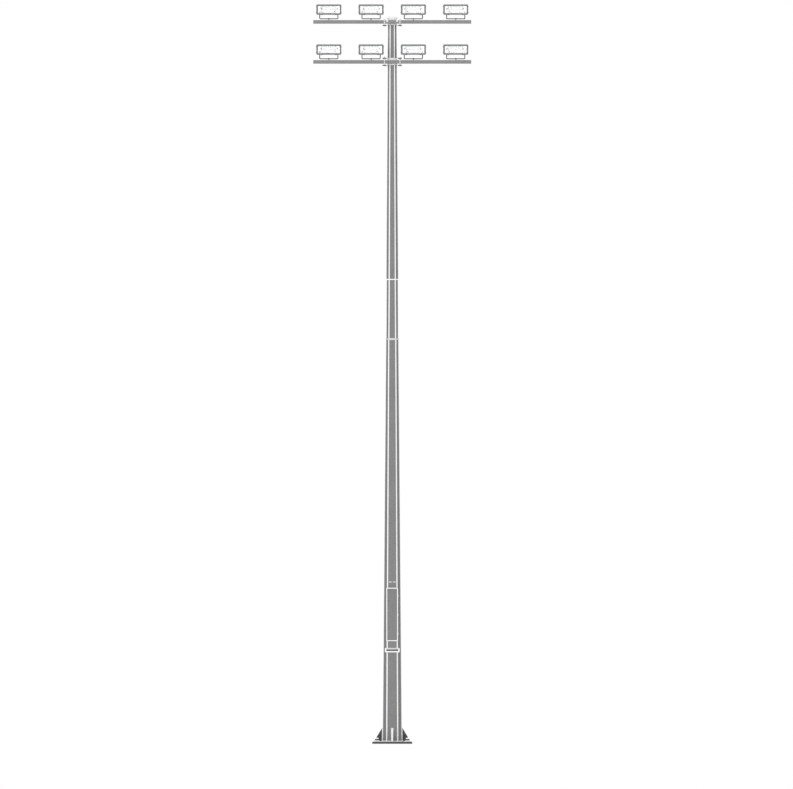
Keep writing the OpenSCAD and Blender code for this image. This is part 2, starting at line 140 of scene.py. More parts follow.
def inset(width):
    """Sets a border of this width into the selected faces."""
    return bpy.ops.mesh.inset, dict(thickness=width, use_even_offset=True)


def extrude(y):
    """Draws the selected faces out along Y."""
    return bpy.ops.mesh.extrude_region_move, dict(TRANSFORM_OT_translate={"value": (0, y, 0)})


def cut(at, normal, **clear):
    """Cuts what is selected in a plane, and clears one side of it where that is asked for."""
    return bpy.ops.mesh.bisect, dict(plane_co=at, plane_no=normal, **clear)


def resize(x, y, z, centre=(0, 0, 0)):
    """Scales what is selected about a centre."""
    return bpy.ops.transform.resize, dict(value=(x, y, z), center_override=centre)


DELETE_FACES = (bpy.ops.mesh.delete, dict(type="FACE"))
CLOSE_SEAMS = (bpy.ops.mesh.remove_doubles, dict(threshold=0.00005))
DROP_SLIVERS = (bpy.ops.mesh.dissolve_degenerate, dict(threshold=0.00002))
BRIDGE = (bpy.ops.mesh.bridge_edge_loops, {})
FLIP = (bpy.ops.mesh.flip_normals, {})


def modify(piece, kind, **settings):
    """Adds a modifier and applies it."""
    only(piece)
    modifier = piece.modifiers.new(kind.title(), kind)
    for key, value in settings.items():
        setattr(modifier, key, value)
    bpy.ops.object.modifier_apply(modifier=modifier.name)
    return piece


def smooth(piece, corner=35):
    """Smooth shading up to the corner's angle, with the large faces kept flat."""
    only(piece)
    bpy.ops.object.shade_smooth_by_angle(angle=radians(corner))
    return modify(piece, "WEIGHTED_NORMAL", keep_sharp=True)


def soften(piece, width, segments=2, corner=30):
    """Rounds every edge sharper than the corner, in degrees, and smooths the faces between."""
    modify(piece, "BEVEL", width=width, segments=segments, limit_method="ANGLE",
           angle_limit=radians(corner), use_clamp_overlap=True)
    return smooth(piece)


def cad_copy(name, node):
    """Copy of a solid with its loose triangles merged into clean flat faces."""
    piece = bpy.data.objects.new(name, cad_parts[node].data.copy())
    piece.data.name = name
    bpy.context.scene.collection.objects.link(piece)
    piece.data.materials.clear()
    return work(piece, "faces", every, CLOSE_SEAMS,
                (bpy.ops.mesh.dissolve_limited, dict(angle_limit=radians(0.5))))


def copy_at(piece, name, offset):
    """Copy with its own mesh, moved by the offset."""
    twin = piece.copy()
    twin.data = piece.data.copy()
    twin.data.transform(Matrix.Translation(offset))
    twin.name = twin.data.name = name
    bpy.context.scene.collection.objects.link(twin)
    return twin


def join(name, pieces):
    """One piece out of several."""
    only(*pieces)
    if len(pieces) > 1:
        bpy.ops.object.join()
    pieces[0].name = pieces[0].data.name = name
    return pieces[0]


def turned(piece, axis, degrees, centre=(0, 0, 0)):
    """Turns the mesh round an axis through the centre."""
    spin = Matrix.Rotation(radians(degrees), 4, "XYZ"[axis])
    place = Matrix.Translation(centre)
    piece.data.transform(place @ spin @ place.inverted())
    return piece


def mirrored(piece, x):
    """Mirrors the mesh left to right about the place x, its faces kept outward."""
    piece.data.transform(Matrix.Translation((2 * x, 0, 0)) @ Matrix.Diagonal((-1, 1, 1, 1)))
    return work(piece, "faces", every, FLIP)


def paint(piece, material, other=None, test=None):
    """Gives the piece its material, and a second one to the faces that pass the test."""
    piece.data.materials.clear()
    piece.data.materials.append(material)
    if other:
        piece.data.materials.append(other)
        for face in piece.data.polygons:
            face.material_index = 1 if test(face) else 0
    return piece


def fit(piece, body, slot, *nodes):
    """Puts a finished piece on its body, in place of the nodes named. The slot is not used."""
    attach(piece, body)
    if nodes:
        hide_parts(*nodes)
    return piece


# --- Materials --------------------------------------------------------------------------------

def linear(code):
    """Turns an sRGB hex value into linear colour."""
    shares = [int(code[i:i + 2], 16) / 255 for i in (1, 3, 5)]
    return [c / 12.92 if c <= 0.04045 else ((c + 0.055) / 1.055) ** 2.4 for c in shares] + [1.0]


def add(tree, kind, sockets=None, **settings):
    """Adds a node with its settings; a socket takes a value or another node's output."""
    made = tree.nodes.new("ShaderNode" + kind)
    for key, value in settings.items():
        setattr(made, key, value)
    for key, value in (sockets or {}).items():
        if isinstance(value, bpy.types.NodeSocket):
            tree.links.new(value, made.inputs[key])
        else:
            made.inputs[key].default_value = value
    return made


def material(name, constants):
    """New material, its node tree, and its Principled node with these constants set."""
    made = bpy.data.materials.new(name)
    made.use_nodes = True
    principled = made.node_tree.nodes["Principled BSDF"]
    for key, value in constants.items():
        principled.inputs[key].default_value = value
    return made, made.node_tree, principled


def ramp(tree, factor, stops):
    """Colour ramp through (position, hex) stops."""
    made = add(tree, "ValToRGB", {"Fac": factor})
    band = made.color_ramp.elements
    while len(band) < len(stops):
        band.new(1.0)
    for element, (position, code) in zip(band, stops):
        element.position = position
        element.color = linear(code)
    return made.outputs["Color"]


def zinc(name, dark, pale, rough, spangle=0.016, streak=0.25, metallic=0.35, grain=0.15):
    """Hot-dip galvanised steel: crystal spangle, faint runs down the surface, dull sheen."""
    made, tree, shader = material(name, {"Metallic": metallic})
    place = add(tree, "TexCoord").outputs["Object"]
    # Spangle crystals of the given size
    crystal = add(tree, "TexVoronoi", {"Vector": place, "Scale": 1 / spangle, "Randomness": 1.0})
    # Rain streaks about 30 mm wide and a metre long
    drawn = add(tree, "Mapping", {"Vector": place, "Scale": (32, 32, 0.9)})
    runs = add(tree, "TexNoise", {"Vector": drawn.outputs[0], "Scale": 1.0, "Detail": 4.0})
    # Cloudy weathering, about half a metre wide
    cloud = add(tree, "TexNoise", {"Vector": place, "Scale": 2.2, "Detail": 3.0})
    mixed = add(tree, "Mix", {"Factor": streak, "A": crystal.outputs["Color"],
                              "B": runs.outputs["Fac"]}, data_type="FLOAT")
    mixed = add(tree, "Mix", {"Factor": 0.35, "A": mixed.outputs[0], "B": cloud.outputs["Fac"]},
                data_type="FLOAT")
    colour = ramp(tree, mixed.outputs[0], [(0.25, dark), (0.75, pale)])
    tree.links.new(colour, shader.inputs["Base Color"])
    rough_map = add(tree, "MapRange", {"Value": crystal.outputs["Color"],
                                       "To Min": rough - 0.06, "To Max": rough + 0.08})
    tree.links.new(rough_map.outputs[0], shader.inputs["Roughness"])
    # Fine grain of the zinc skin, about 3 mm so that it shows close up
    fine = add(tree, "TexNoise", {"Vector": place, "Scale": 330.0, "Detail": 2.0})
    bump = add(tree, "Bump", {"Strength": grain, "Distance": 0.0006, "Height": fine.outputs["Fac"]})
    tree.links.new(bump.outputs[0], shader.inputs["Normal"])
    return made


# Mast tubes: galvanised plate, weathered to an even mid grey
GALVANISED = zinc("galvanised mast plate", "#6E6E6E", "#828282", 0.52)
# Cross arms: the same skin a little fresher, so paler
ARM_ZINC = zinc("galvanised arm tube", "#777777", "#8C8C8C", 0.48)
# Door: the same skin on pressed sheet, with smaller spangle
DOOR_ZINC = zinc("galvanised door sheet", "#6D6D6D", "#818181", 0.5, spangle=0.010)
# Weld beads, sprayed with zinc: almost white; the same near white on the mast's bends and the base
# plate's upper edge is a painted highlight
PALE_ZINC_AND_PAINTED_HIGHLIGHT = zinc("sprayed zinc on welds, painted highlight on bends", "#E9E9E9", "#FBFBFB", 0.6, streak=0.5,
                   metallic=0.0)
# Thick plate that went dark in the bath, as heavy sections do
DARK_ZINC = zinc("dark galvanised thick plate", "#3C3C3C", "#505050", 0.6, spangle=0.020)
# Ears: the same thick plate
EAR_ZINC = zinc("galvanised ear plate", "#464646", "#5A5A5A", 0.58, spangle=0.018)
# Bracket channels: grey priming under a thin zinc wash, darker than the arms
BRACKET_ZINC = zinc("dark galvanised channel", "#2C2C2C", "#3E3E3E", 0.55, spangle=0.010)
# Base plate: the thickest section, with the coarsest spangle
BASE_ZINC = zinc("dark galvanised base plate", "#3E3E3E", "#525252", 0.62, spangle=0.024)
# Bolts, nuts and washers: spun galvanised, pale grey
BOLT_ZINC = zinc("spun galvanised bolts", "#B4B4B4", "#D4D4D4", 0.45, spangle=0.005, metallic=0.5)
# Anchor nuts and keyways: black oxide under thin zinc
NUT_DARK = zinc("dark anchor nuts", "#202020", "#343434", 0.5, spangle=0.006)


def plain_metal(name, dark, pale, rough, metallic, scale, distance=0.0003):
    """Cast, drawn or rolled metal: fine mottling and a little bump."""
    made, tree, shader = material(name, {"Metallic": metallic, "Roughness": rough})
    place = add(tree, "TexCoord").outputs["Object"]
    mottle = add(tree, "TexNoise", {"Vector": place, "Scale": scale, "Detail": 5.0})
    tree.links.new(ramp(tree, mottle.outputs["Fac"], [(0.35, dark), (0.65, pale)]),
                   shader.inputs["Base Color"])
    bump = add(tree, "Bump", {"Strength": 0.3, "Distance": distance,
                              "Height": mottle.outputs["Fac"]})
    tree.links.new(bump.outputs[0], shader.inputs["Normal"])
    return made


# Floodlight front frame and latches: powder coated die casting, fine orange peel about 2 mm
FRAME_COAT = plain_metal("grey powder coated casting", "#6B6B6B", "#787878", 0.5, 0.0, 480.0)
# Housing behind it: the same coat, sun-bleached
BODY_COAT = plain_metal("grey powder coated housing", "#7C7C7C", "#8A8A8A", 0.55, 0.0, 480.0)
# Reflector: satin rolled aluminium, hammered in about 6 mm dimples
REFLECTOR = plain_metal("satin hammered reflector sheet", "#FBFBFB", "#FFFFFF", 0.55, 1.0, 170.0,
                        0.0006)
# Seal round the pane: grey silicone rubber
RUBBER = plain_metal("grey silicone seal", "#828384", "#8E8F90", 0.75, 0.0, 300.0)
# Clips at the tube and the reflector's edge: ceramic, greyed by heat
CERAMIC = plain_metal("heat-greyed ceramic", "#4E4D4B", "#5F5E5C", 0.6, 0.0, 120.0)
# Mast cap: spun aluminium under white polyester powder
WHITE_COAT = plain_metal("white powder coated cap", "#FAFAFA", "#FFFFFF", 0.45, 0.0, 260.0)
# Mill finish aluminium of the name plate's upper strip, brushed by the rolls
ALUMINIUM = plain_metal("mill finish aluminium", "#A8A8A8", "#BCBCBC", 0.42, 0.3, 90.0)
# Discharge tube: clouded quartz
QUARTZ = plain_metal("clouded quartz", "#F0F1F2", "#FDFEFF", 0.15, 0.0, 60.0, 0.0001)
# Dark anodised field of the name plate
ANODISED = plain_metal("dark anodised aluminium", "#3E3F40", "#4A4B4D", 0.4, 0.3, 90.0)

# Toughened clear pane: one lone shader with a constant alpha
GLASS = material("clear toughened glass", {
    "Base Color": linear("#F4F8FA"), "Roughness": 0.05, "Alpha": 0.12})[0]


# --- Mast -------------------------------------------------------------------------------------

def outward(face):
    """True on the outside of a shaft, whose walls stand nearly upright round the Z axis."""
    at = face.calc_center_median() if hasattr(face, "calc_center_median") else face.center
    return abs(face.normal.z) < 0.3 and face.normal.dot(Vector((at.x, at.y, 0))) > 0


BEND_WIDTH = 0.0145            # the rolled strip at each bend of a shaft
DOOR_EDGES = (2.2745, 3.4515)  # heights of the doorway's lower and upper edge


def shaft(node, cuts=()):
    """Tapered tube whose eight bends are rolled round and carry a painted highlight of near-white
    zinc.

    The cuts are heights behind the door's edges, where the rolling stops at the doorway.
    """
    piece = cad_copy(node + "_plate", node)
    for z in cuts:
        work(piece, "faces", every, cut((0, 0, z), UP))

    def bend(edge):
        line = edge.verts[1].co - edge.verts[0].co
        sides = edge.link_faces
        return (line.length > 0.3 and abs(line.normalized().z) > 0.99 and len(sides) == 2
                and all(outward(f) for f in sides) and sides[0].normal.dot(sides[1].normal) < 0.95)

    def rolled(face):
        n = face.normal
        flat = max(abs(n.x), abs(n.y), abs(n.x + n.y) / 2 ** 0.5, abs(n.x - n.y) / 2 ** 0.5)
        return flat < 0.997 and outward(face)

    work(piece, "edges", bend, bevel(BEND_WIDTH, 3, clamp_overlap=False))
    # Painted highlight: the rounded bend faces get the near-white zinc, the flats the galvanised
    # grey
    paint(piece, GALVANISED, PALE_ZINC_AND_PAINTED_HIGHLIGHT, rolled)
    smooth(piece, 20)
    return fit(piece, "root", "galvanised_steel", node)


def band(name, node, low, high, stand, run_out=0.0):
    """Strip round a shaft between two heights, standing proud; run_out bevels its top off."""
    piece = cad_copy(name, node)
    work(piece, "faces", every, cut((0, 0, low), UP, clear_inner=True))
    work(piece, "faces", every, cut((0, 0, high), UP, clear_outer=True))
    work(piece, "faces", lambda f: not outward(f), DELETE_FACES)
    modify(piece, "SOLIDIFY", thickness=stand + 0.001, offset=1.0, use_even_offset=True)
    if run_out:
        rim = max(v.co.z for v in piece.data.vertices) - 0.0005
        far = [v for v in piece.data.vertices if v.co.z > rim]
        edge = max(abs(v.co.x) for v in far) - stand / 2
        work(piece, "edges",
             lambda e: all(v.co.z > rim and outside_octagon(v.co, edge) for v in e.verts),
             bevel(run_out, 3))
    return piece


def outside_octagon(at, half):
    """True where a point lies outside the octagon of this half width."""
    return max(abs(at.x), abs(at.y), (abs(at.x) + abs(at.y)) * 0.63) > half


def bead(start, end, a, b, size):
    """Fillet weld from start to end in the corner between directions a and b."""
    start, end, a, b = Vector(start), Vector(end), Vector(a), Vector(b)
    run = end - start
    if a.cross(b).dot(run) < 0:
        a, b = b, a
    piece = block("bead", (0, 0, 0), (size, size, run.length))
    work(piece, "edges", lambda e: middle(e).x > size * 0.9 and middle(e).y > size * 0.9,
         bevel(size * 0.8, 3))
    axes = Matrix((a.normalized(), b.normalized(), run.normalized())).transposed().to_4x4()
    piece.data.transform(Matrix.Translation(start) @ axes)
    return piece


shaft("lower_shaft", DOOR_EDGES)
shaft("middle_shaft")
shaft("upper_shaft")

# Slip joints: a lip and a bead of zinc paste where one shaft meets the next
for name, node, low, high, stand, coat in (
        ("lower_joint_lip", "lower_shaft", 8.936, 8.9595, 0.0015, BOLT_ZINC),
        ("lower_joint_bead", "middle_shaft", 8.9602, 8.978, 0.0060, BOLT_ZINC),
        ("upper_joint_bead", "middle_shaft", 10.265, 10.2895, 0.0055, PALE_ZINC_AND_PAINTED_HIGHLIGHT)):
    fit(paint(soften(band(name, node, low, high, stand), 0.0008, 1), coat),
        "root", "galvanised_steel")
# Zones round the welds of the arms' saddles and ears, sprayed with zinc after welding
for name, low, high in (
        ("upper_arm_spray", 15.909, 15.944),
        ("lower_arm_spray_below", 15.019, 15.060),
        ("lower_arm_spray_above", 15.120, 15.180)):
    fit(paint(soften(band(name, "upper_shaft", low, high, 0.0008), 0.0003, 1), PALE_ZINC_AND_PAINTED_HIGHLIGHT),
        "root", "galvanised_steel")
# Weld round the mast's foot
fit(paint(band("mast_foot_weld", "lower_shaft", 0.0505, 0.068, 0.015, 0.012), PALE_ZINC_AND_PAINTED_HIGHLIGHT),
    "root", "galvanised_steel")

cap = soften(cad_copy("mast_cap_cover", "mast_cap"), 0.0015)
fit(paint(cap, WHITE_COAT), "root", "plate_aluminium", "mast_cap")


# --- Fasteners --------------------------------------------------------------------------------

def hex_bolt(name, seat, across, thick, washer_d=0.0, washer_t=0.0, shank_d=0.0, shank=0.0):
    """Bolt with its washer lying on the point seat and its head up; the shank hangs below."""
    seat = Vector(seat)
    lift = Vector((0, 0, washer_t + thick / 2))
    head = rod(name, seat + lift, across / cos(pi / 6), thick, Z, 6)
    rim = seat.z + washer_t + thick - 0.00001
    made = [work(head, "edges", lambda e: middle(e).z > rim, bevel(thick * 0.14, 1))]
    if washer_d:
        ring = rod(name, seat + Vector((0, 0, washer_t / 2)), washer_d, washer_t, Z, 24)
        made.append(work(ring, "edges", lambda e: middle(e).z > seat.z + washer_t * 0.9,
                         bevel(washer_t * 0.3, 1)))
    if shank_d:
        stem = rod(name, seat - Vector((0, 0, shank / 2)), shank_d, shank, Z, 16)
        made.append(work(stem, "edges", lambda e: middle(e).z < seat.z - shank + 0.00001,
                         bevel(shank_d * 0.1, 1)))
    return smooth(join(name, made), 25)


def laid(bolt, axis, degrees, at):
    """Turns a bolt made at the origin and puts its seat in place."""
    turned(bolt, axis, degrees).data.transform(Matrix.Translation(at))
    return bolt


# --- Base -------------------------------------------------------------------------------------

PLATE_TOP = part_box("base_plate")[1].z
ANCHOR_REACH = 0.341           # how far the anchors stand from the mast's axis, along X and Y
CHEEK = 0.0125                 # half the thickness of a gusset
WELD_FOOT = (-0.216, 0.051)    # upright weld on the mast's front face: y and z of its lower end
WELD_HEAD = (-0.2135, 0.348)   # and of its upper end
WELD_TOE = (-0.396, 0.05)      # outer end of the weld along the base plate

base = soften(cad_copy("base_plate_steel", "base_plate"), 0.0045, 2)
# Painted highlight: the rounded edge that faces upward gets the near-white zinc, the rest of the
# plate stays dark
paint(base, BASE_ZINC, PALE_ZINC_AND_PAINTED_HIGHLIGHT, lambda f: 0.1 < f.normal.z < 0.98)
fit(base, "root", "dark_steel", "base_plate")

gussets = soften(cad_copy("base_gusset_plates", "base_gussets"), 0.002, 2)


def cut_edge(face):
    """True on a gusset's flame-cut edges, which are ground and sprayed."""
    at, n = face.center, face.normal
    across = n.x if abs(at.x) < abs(at.y) else n.y
    return abs(across) < 0.75


fit(paint(gussets, DARK_ZINC, PALE_ZINC_AND_PAINTED_HIGHLIGHT, cut_edge), "root", "dark_steel", "base_gussets")

welds = []
for side in range(4):
    for hand in (-1, 1):
        x = CHEEK * hand
        upright = bead((x, *WELD_FOOT), (x, *WELD_HEAD), (0, -1, 0), (hand, 0, 0), 0.015)
        level = bead((x, WELD_FOOT[0] - 0.012, WELD_TOE[1]), (x, *WELD_TOE),
                     (0, 0, 1), (hand, 0, 0), 0.012)
        welds += [turned(upright, Z, 90 * side), turned(level, Z, 90 * side)]
gusset_welds = join("gusset_welds", welds)
smooth(gusset_welds, 50)
fit(paint(gusset_welds, PALE_ZINC_AND_PAINTED_HIGHLIGHT), "root", "galvanised_steel")


def anchor(x, y):
    """Anchor end: plate washer, dark nut, pale washer, pale lock nut and the threaded stub.

    Over the base plate they end at 0.026, 0.056, 0.062, 0.079 and 0.085.
    """
    z = PLATE_TOP
    pad = block("pad", (x - 0.058, y - 0.058, z), (x + 0.058, y + 0.058, z + 0.026))
    soften(pad, 0.003, 1)
    nut = rod("nut", (x, y, z + 0.041), 0.080 / cos(pi / 6), 0.030, Z, 6)
    work(nut, "edges", lambda e: abs(middle(e).z - z - 0.041) > 0.0145, bevel(0.003, 1))
    washer = rod("washer", (x, y, z + 0.059), 0.098, 0.006, Z, 40)
    work(washer, "edges", lambda e: middle(e).z > z + 0.0615, bevel(0.0015, 1))
    lock = rod("lock", (x, y, z + 0.0705), 0.075 / cos(pi / 6), 0.017, Z, 6)
    work(lock, "edges", lambda e: middle(e).z > z + 0.0785, bevel(0.003, 1))
    stub = rod("stub", (x, y, z + 0.081), 0.048, 0.008, Z, 32)
    work(stub, "edges", lambda e: middle(e).z > z + 0.0845, bevel(0.003, 2))
    return [pad, washer, lock, stub], nut


pale, dark = [], []
for sx in (-1, 1):
    for sy in (-1, 1):
        rest, nut = anchor(ANCHOR_REACH * sx, ANCHOR_REACH * sy)
        pale += rest
        dark.append(nut)
for name, made, coat in (("anchor_washers", pale, PALE_ZINC_AND_PAINTED_HIGHLIGHT), ("anchor_nuts", dark, NUT_DARK)):
    fit(paint(smooth(join(name, made), 25), coat), "root", "bright_zinc")


# --- Service door -----------------------------------------------------------------------------

DOOR_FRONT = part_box("door")[0].y
BAND_X = (-0.131, 0.127)       # left and right edge of the band that is folded round the door
BAND_Z = (2.270, 3.454)        # its lower and upper edge
LOCK_X = -0.084
LOCK_HEIGHTS = (2.562, 3.162)

fit(paint(soften(cad_copy("door_frame_steel", "door_frame"), 0.0012, 1), DOOR_ZINC),
    "root", "door_steel", "door_frame")
fit(paint(soften(cad_copy("door_hinge_lugs", "door_hinge_pins"), 0.0008, 1), BOLT_ZINC),
    "root", "door_steel", "door_hinge_pins")
fit(paint(soften(cad_copy("door_panel", "door"), 0.001, 2), DOOR_ZINC),
    "door", "door_steel", "door")
fit(paint(soften(cad_copy("door_lock_bodies", "door_locks"), 0.0007, 1), BOLT_ZINC),
    "door", "bright_zinc", "door_locks")


def frame_ring(name, low, high, width, outer_round, inner_round):
    """Flat ring of this width in the XZ plane, its corners rounded outside and inside."""
    ring = block(name, low, high)
    across, up = (high[0] + low[0]) / 2, (high[2] + low[2]) / 2
    half_x, half_z = (high[0] - low[0]) / 2, (high[2] - low[2]) / 2
    work(ring, "faces", lambda f: abs(f.normal.y) > 0.9, inset(width))

    def inner(face):
        at = face.calc_center_median()
        return (abs(face.normal.y) > 0.9 and abs(at.x - across) < half_x - width
                and abs(at.z - up) < half_z - width)

    work(ring, "faces", inner, BRIDGE)

    def corner_edge(reach):
        """Corner edges that lie this far inside the ring's outline."""
        def test(edge):
            at = middle(edge)
            return (along(Y)(edge) and abs(abs(at.x - across) - half_x + reach) < 0.0005
                    and abs(abs(at.z - up) - half_z + reach) < 0.0005)
        return test

    work(ring, "edges", corner_edge(0.0), bevel(outer_round, 6))
    work(ring, "edges", corner_edge(width), bevel(inner_round, 5))
    return ring


edge_band = frame_ring("door_edge_band", (BAND_X[0], DOOR_FRONT - 0.0022, BAND_Z[0]),
                       (BAND_X[1], DOOR_FRONT + 0.0002, BAND_Z[1]), 0.020, 0.016, 0.010)
fit(paint(soften(edge_band, 0.0009, 2), PALE_ZINC_AND_PAINTED_HIGHLIGHT), "door", "door_steel")

# Keyways: a collar round a three-sided post
keys = []
lock_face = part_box("door_locks")[0].y
for z in LOCK_HEIGHTS:
    collar = rod("keyway", (LOCK_X, lock_face - 0.001, z), 0.0225, 0.003, Y, 28)
    work(collar, "faces", facing(Y, -1), inset(0.005), extrude(0.0022))
    post = rod("post", (LOCK_X, lock_face - 0.0008, z), 0.0085, 0.003, Y, 3)
    keys += [soften(collar, 0.0005, 1), soften(post, 0.0004, 1)]
fit(paint(join("door_lock_keyways", keys), NUT_DARK), "door", "bright_zinc")

# Drip rail: the gap between its two strips made a little wider
drips = cad_copy("drip_strips", "drip_rail")
for sx in (-1, 1):
    work(drips, "faces", lambda f: f.normal.x * sx < -0.9 and 0 < middle(f).x * sx < 0.02,
         (bpy.ops.transform.translate, dict(value=(0.003 * sx, 0, 0))))
fit(paint(soften(drips, 0.002, 2), PALE_ZINC_AND_PAINTED_HIGHLIGHT), "root", "bright_zinc", "drip_rail")

# Name plate, bare: a sheet with a dark field and a strip over it, on a pad, held by four screws
plate_low, plate_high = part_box("name_plate")
plate_middle = 0.5 * (plate_low.z + plate_high.z)
sheet = block("bare_name_plate", plate_low, (plate_high.x, plate_low.y + 0.004, plate_high.z))
work(sheet, "edges", along(Y), bevel(0.006, 4))
paint(soften(sheet, 0.0006, 1), PALE_ZINC_AND_PAINTED_HIGHLIGHT)
for name, low, high, coat in (("name_plate_field", -0.019, 0.017, ANODISED),
                              ("name_plate_strip", 0.021, 0.040, ALUMINIUM)):
    strip = block(name, (-0.132, plate_low.y - 0.0004, plate_middle + low),
                  (0.132, plate_low.y + 0.0002, plate_middle + high))
    work(strip, "edges", along(Y), bevel(0.003, 3))
    fit(paint(soften(strip, 0.0002, 1), coat), "root", "plate_aluminium")
pad = block("name_plate_pad", (-0.085, plate_low.y + 0.0038, 2.044), (0.085, plate_high.y, 2.100))
paint(soften(pad, 0.001, 1), GALVANISED)
fit(sheet, "root", "plate_aluminium", "name_plate")
fit(pad, "root", "plate_aluminium", "name_plate")
studs = []
for sx in (-1, 1):
    for sz in (-1, 1):
        stud = hex_bolt("stud", (0, 0, 0), 0.008, 0.003, 0.012, 0.001)
        studs.append(laid(stud, X, 90, (0.149 * sx, plate_low.y, plate_middle + 0.034 * sz)))
fit(paint(join("name_plate_screws", studs), BOLT_ZINC), "root", "bright_zinc")


# --- Cross arms -------------------------------------------------------------------------------

for node in ("upper_arm", "lower_arm"):
    arm = cad_copy(node + "_tube", node)
    low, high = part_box(node)
    mid_y, mid_z = (low.y + high.y) / 2, (low.z + high.z) / 2

    def long_corner(edge):
        """True on the four outer corners along the tube."""
        at = middle(edge)
        return (along(X)(edge) and (edge.verts[0].co - edge.verts[1].co).length > 1
                and abs(at.y - mid_y) > 0.0395 and abs(at.z - mid_z) > 0.0395)

    work(arm, "edges", long_corner, bevel(0.010, 4))
    smooth(arm, 40)
    fit(paint(arm, ARM_ZINC), "root", "galvanised_steel", node)

caps = cad_copy("arm_end_plates", "arm_end_caps")
work(caps, "edges", along(X), bevel(0.010, 4))
fit(paint(soften(caps, 0.001, 1), ARM_ZINC), "root", "galvanised_steel", "arm_end_caps")

fit(paint(soften(cad_copy("arm_saddle_blocks", "arm_saddles"), 0.003, 2), PALE_ZINC_AND_PAINTED_HIGHLIGHT),
    "root", "galvanised_steel", "arm_saddles")

# Ears: the root by the mast is sprayed after welding, the rest keeps the dark skin of thick plate
ears = cad_copy("arm_ear_plates", "arm_ears")
for x in (-EAR_ROOT_X, EAR_ROOT_X):
    work(ears, "faces", every, cut((x, 0, 0), (1, 0, 0)))
soften(ears, 0.002, 2)
smooth(work(ears, "faces", every, DROP_SLIVERS))


def sprayed(face):
    """True on an ear's root and in its bolt hole."""
    at = face.center
    in_hole = (Vector((abs(at.x), at.y)) - Vector((EAR_BOLT_X, ARM_Y))).length < 0.0235
    return abs(at.x) < EAR_ROOT_X or (in_hole and abs(face.normal.z) < 0.5)


fit(paint(ears, EAR_ZINC, PALE_ZINC_AND_PAINTED_HIGHLIGHT, sprayed), "root", "dark_steel", "arm_ears")

wall = [v.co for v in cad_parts["upper_shaft"].data.vertices]
tip_z, foot_z = max(at.z for at in wall), min(at.z for at in wall)
tip_w = max(at.x for at in wall if at.z > tip_z - 0.001)
foot_w = max(at.x for at in wall if at.z < foot_z + 0.001)


def half_width(z):
    """Half the upper shaft's width across flats at a height."""
    return tip_w + (foot_w - tip_w) * (tip_z - z) / (tip_z - foot_z)


SADDLE_EDGE = 0.018            # how far a saddle reaches past its arm, above and below
EAR_BELOW = -0.050             # underside of the ears under an arm, from the arm's underside
EAR_ABOVE = ARM_SIZE + 0.028   # underside of the ears over the lower arm
WELD_HALF = 0.036              # half the length of these welds
WELD_SIZE = 0.007

arm_welds = []
for node, ear_undersides in (("upper_arm", (EAR_BELOW,)), ("lower_arm", (EAR_BELOW, EAR_ABOVE))):
    arm_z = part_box(node)[0].z
    for z, up in ((arm_z - SADDLE_EDGE, -1), (arm_z + ARM_SIZE + SADDLE_EDGE, 1)):
        if z < tip_z - 0.01:
            y = -half_width(z)
            arm_welds.append(bead((-WELD_HALF, y, z), (WELD_HALF, y, z),
                                  (0, -1, 0), (0, 0, up), WELD_SIZE))
    for lift in ear_undersides:
        for z, up in ((arm_z + lift, -1), (arm_z + lift + EAR_THICK, 1)):
            for sx in (-1, 1):
                x = sx * half_width(z)
                arm_welds.append(bead((x, -WELD_HALF, z), (x, WELD_HALF, z),
                                      (sx, 0, 0), (0, 0, up), WELD_SIZE))
fit(paint(smooth(join("arm_welds", arm_welds), 50), PALE_ZINC_AND_PAINTED_HIGHLIGHT), "root", "galvanised_steel")

# Bolts through ears and arm: the heights of their lower and upper seats
EAR_BOLTS = ((15.886, 16.016), (15.001, 15.181))
ear_bolts = []
for under, over in EAR_BOLTS:
    for sx in (-1, 1):
        x = EAR_BOLT_X * sx
        top = hex_bolt("bolt", (x, ARM_Y, over), 0.030, 0.016, 0.037, 0.003,
                       0.020, over - under + 0.002)
        foot = hex_bolt("bolt", (0, 0, 0), 0.030, 0.0125, 0.037, 0.003)
        laid(foot, X, 180, (x, ARM_Y, under))
        end = rod("end", (x, ARM_Y, over + 0.022), 0.020, 0.010, Z, 20)
        work(end, "edges", lambda e: middle(e).z > over + 0.0265, bevel(0.002, 1))
        ear_bolts += [top, foot, end]
fit(paint(join("ear_bolts", ear_bolts), PALE_ZINC_AND_PAINTED_HIGHLIGHT), "root", "bright_zinc")

face_screws = []
for node in ("upper_arm", "lower_arm"):
    low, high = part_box(node)
    for sx in (-1, 1):
        for sz in (-1, 1):
            screw = hex_bolt("screw", (0, 0, 0), 0.020, 0.008, 0.030, 0.002)
            at = (EAR_BOLT_X * sx, low.y, (low.z + high.z) / 2 + 0.022 * sz)
            face_screws.append(laid(screw, X, 90, at))
fit(paint(join("arm_face_screws", face_screws), PALE_ZINC_AND_PAINTED_HIGHLIGHT), "root", "bright_zinc")

